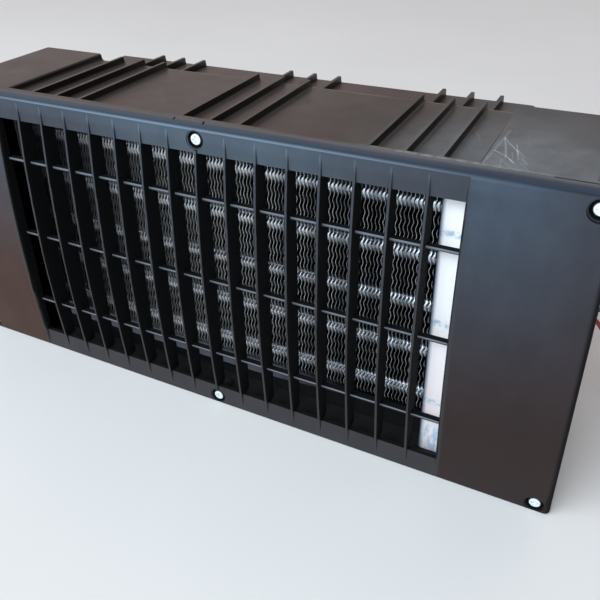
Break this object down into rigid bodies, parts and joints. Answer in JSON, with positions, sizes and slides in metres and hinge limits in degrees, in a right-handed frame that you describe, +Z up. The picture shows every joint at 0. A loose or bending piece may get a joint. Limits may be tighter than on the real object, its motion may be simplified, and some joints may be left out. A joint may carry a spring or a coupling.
{
  "type": "vehicle cab heater",
  "caption": "Black box-shaped water heater for a vehicle cab: louvered front grille over a finned core, ribbed housing, fans at the back, hose spigots and supply leads.",
  "frame": {"origin": "on the surface it stands on, below the middle of its box (the free leads not counted)", "axes": "+X along its length to its right as seen by someone facing the grille, +Y from the grille to the back, +Z up"},
  "size_m": [0.4234, 0.1733, 0.1772],
  "materials": {
    "black_plastic": "moulded black, satin",
    "zinc_steel": "bright zinc plating",
    "motor_steel": "dark enamel",
    "shaft_steel": "ground steel",
    "fin_aluminium": "thin rolled sheet",
    "tube_aluminium": "drawn tube",
    "sheet_aluminium": "mill-finish sheet",
    "black_foam": "closed-cell foam",
    "black_rubber": "moulded rubber",
    "insert_brass": "turned brass",
    "red_insulation": "dark red cable insulation",
    "black_insulation": "black cable insulation",
    "tinned_steel": "tinned"
  },
  "bodies": {
    "heater": {"core_bottom_plate": "sheet_aluminium", "core_end_plate_left": "sheet_aluminium", "core_end_plate_right": "sheet_aluminium", "core_fins": "fin_aluminium", "core_foam": "black_foam", "core_hairpins": "tube_aluminium", "core_return_bends": "tube_aluminium", "core_screws": "zinc_steel", "core_top_plate": "sheet_aluminium", "fan_guard_left": "black_plastic", "fan_guard_right": "black_plastic", "fan_motor_left": "motor_steel", "fan_motor_right": "motor_steel", "fan_shroud_left": "black_plastic", "fan_shroud_right": "black_plastic", "fascia_screws": "zinc_steel", "front_grille": "black_plastic", "front_housing": "black_plastic", "guard_screws": "zinc_steel", "housing_screws": "zinc_steel", "inlet_pipe": "tube_aluminium", "lead_black": "black_insulation", "lead_grommet": "black_rubber", "lead_red": "red_insulation", "lead_terminal_black": "tinned_steel", "lead_terminal_red": "tinned_steel", "motor_screws": "zinc_steel", "mounting_inserts": "insert_brass", "outlet_pipe": "tube_aluminium", "pipe_grommets": "black_rubber", "rear_housing": "black_plastic"},
    "fan_left": {"fan_shaft_left": "shaft_steel", "fan_impeller_left": "black_plastic", "impeller_clip_left": "shaft_steel"},
    "fan_right": {"fan_shaft_right": "shaft_steel", "fan_impeller_right": "black_plastic", "impeller_clip_right": "shaft_steel"}
  },
  "joints": [
    {"name": "fan_left_spin", "type": "hinge", "parent": "heater", "child": "fan_left", "pos_m": [-0.08175, 0.035, 0.0886], "axis": [0, 1, 0], "continuous": true},
    {"name": "fan_right_spin", "type": "hinge", "parent": "heater", "child": "fan_right", "pos_m": [0.06375, 0.035, 0.0886], "axis": [0, 1, 0], "continuous": true}
  ]
}
